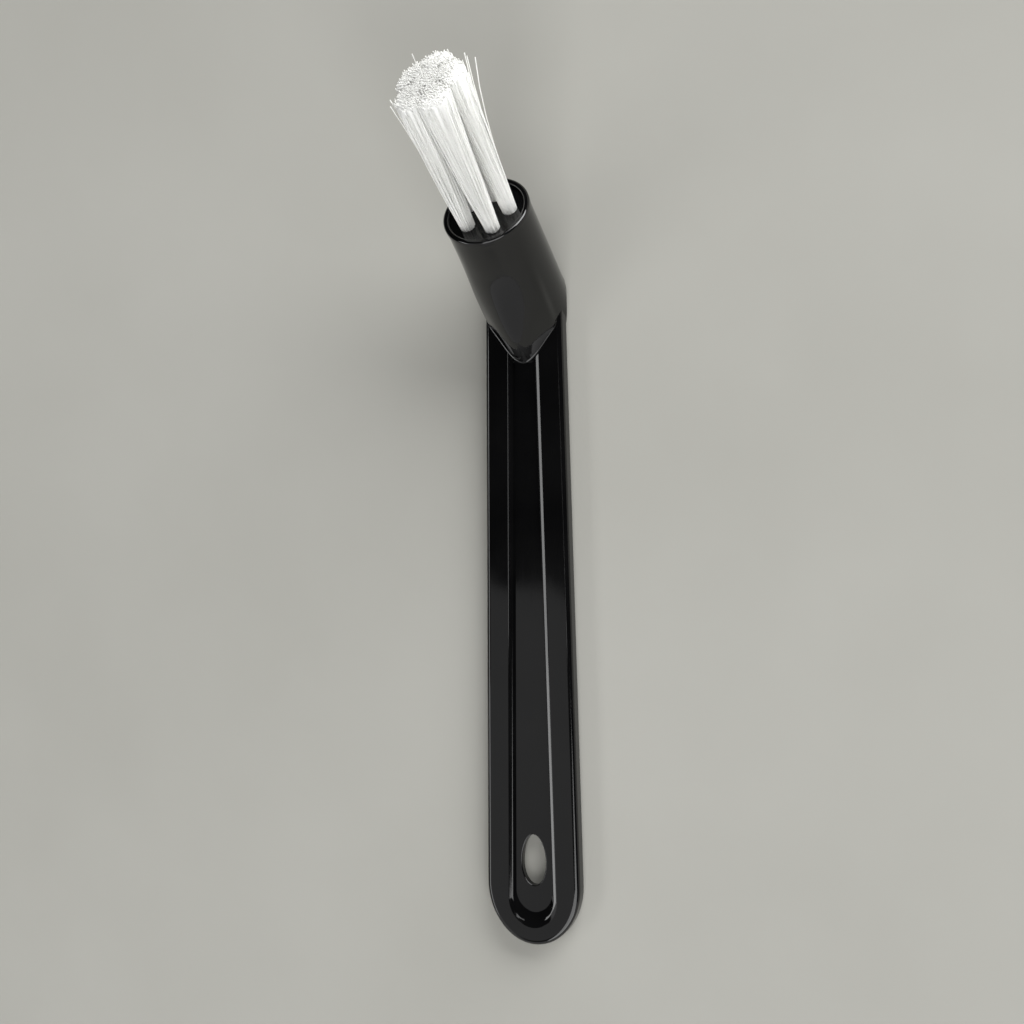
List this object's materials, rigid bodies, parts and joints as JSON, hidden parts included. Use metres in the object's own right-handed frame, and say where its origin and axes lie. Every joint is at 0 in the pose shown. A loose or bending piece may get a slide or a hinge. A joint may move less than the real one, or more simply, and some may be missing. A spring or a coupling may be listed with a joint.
{
  "type": "coffee machine cleaning brush",
  "caption": "Hand brush with a flat channelled handle, a hanging hole and a tilted round collar full of stiff nylon tufts.",
  "frame": {"origin": "on the resting surface, below the middle of the brush's bounding box", "axes": "+Y along the handle towards the collar, +Z out of the front side, X across the handle; the brush lies on its back"},
  "size_m": [0.0264, 0.2269, 0.0653],
  "materials": {
    "handle_plastic": "polished black injection moulding",
    "bristle_nylon": "white nylon filament",
    "anchor_wire": "drawn flat wire"
  },
  "bodies": {
    "root": {"handle": "handle_plastic", "tuft_1": "bristle_nylon", "tuft_2": "bristle_nylon", "tuft_3": "bristle_nylon", "tuft_4": "bristle_nylon", "tuft_5": "bristle_nylon", "tuft_6": "bristle_nylon", "anchor_1": "anchor_wire", "anchor_2": "anchor_wire", "anchor_3": "anchor_wire", "anchor_4": "anchor_wire", "anchor_5": "anchor_wire", "anchor_6": "anchor_wire"}
  },
  "joints": []
}
